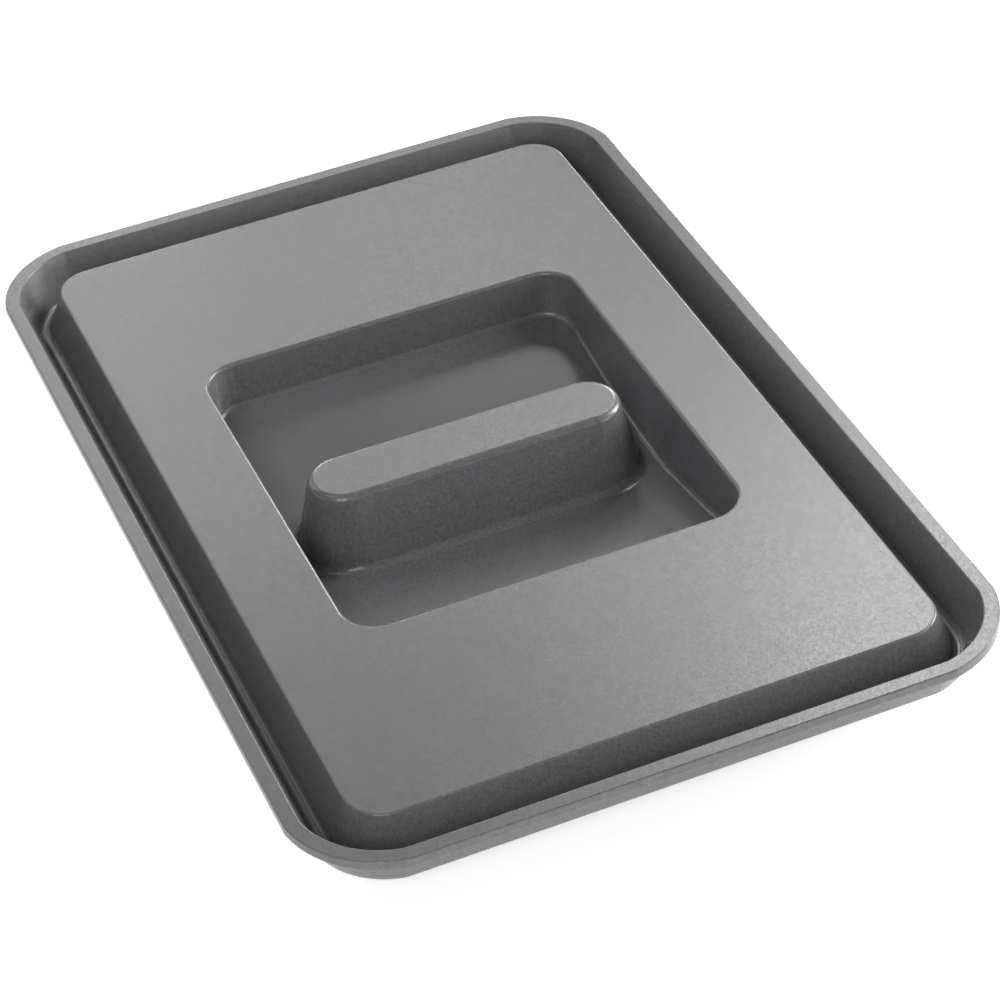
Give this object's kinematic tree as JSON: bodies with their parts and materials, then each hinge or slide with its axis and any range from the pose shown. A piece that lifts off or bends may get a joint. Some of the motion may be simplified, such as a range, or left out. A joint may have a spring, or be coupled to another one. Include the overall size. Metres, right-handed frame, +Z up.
{
  "type": "wash tub lid",
  "caption": "Moulded plastic lid for a solvent wash tub, with a drip channel round a raised deck, a sunken hand recess with a grip bar, and a seal ring under its rim.",
  "frame": {"origin": "centre of the lid in plan, at the height of its lowest point, the underside of the recess floor", "axes": "X along the grip bar, Y along the lid's long side, Z up out of the deck"},
  "size_m": [0.3, 0.45, 0.0378],
  "materials": {
    "lid_plastic": "fine grained satin mid-grey polypropylene",
    "seal_rubber": "matt dark solvent-resistant rubber"
  },
  "bodies": {
    "root": {"lid_shell": "lid_plastic", "rim_seal": "seal_rubber"}
  },
  "joints": []
}
